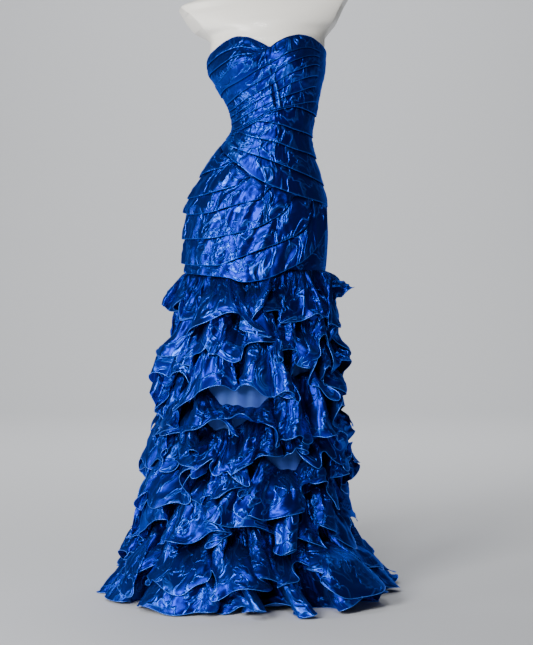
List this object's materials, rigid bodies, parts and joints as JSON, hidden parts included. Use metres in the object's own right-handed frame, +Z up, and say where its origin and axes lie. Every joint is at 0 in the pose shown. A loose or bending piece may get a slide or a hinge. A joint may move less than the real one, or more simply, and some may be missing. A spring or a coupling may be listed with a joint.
{
  "type": "mermaid prom dress on limbless dress form with stand",
  "caption": "Strapless sweetheart mermaid gown in blue organza, with a pleated bodice, crescent hip tiers and a ruffled skirt, on a white dress form and stand.",
  "frame": {"origin": "centre of the stand base's underside, on the floor", "axes": "+Z up the pole to the neck; -Y to the front of the gown; +X to the side of the higher shoulder, right when seen from the front"},
  "size_m": [0.739, 0.7161, 1.525],
  "materials": {
    "organza": "crisp, shiny and crinkled",
    "satin": "soft satin",
    "form_shell": "smooth, slightly glossy",
    "steel": "satin"
  },
  "bodies": {
    "root": {"form_torso": "form_shell", "stand_base": "steel", "stand_pole": "steel", "bodice_left_cup": "organza", "bodice_front": "organza", "bodice_side": "organza", "bodice_back": "organza", "waist_wrap_front": "organza", "waist_wrap_back": "organza", "hip_yoke": "organza", "hip_tier_1": "organza", "hip_tier_2": "organza", "hip_tier_3": "organza", "hip_tier_4": "organza", "hip_tier_5": "organza", "hip_tier_6": "organza", "underskirt": "satin", "ruffle_1": "organza", "ruffle_2": "organza", "ruffle_3": "organza", "ruffle_4": "organza", "ruffle_5": "organza", "ruffle_6": "organza", "ruffle_7": "organza", "ruffle_8": "organza", "ruffle_9": "organza"}
  },
  "joints": []
}
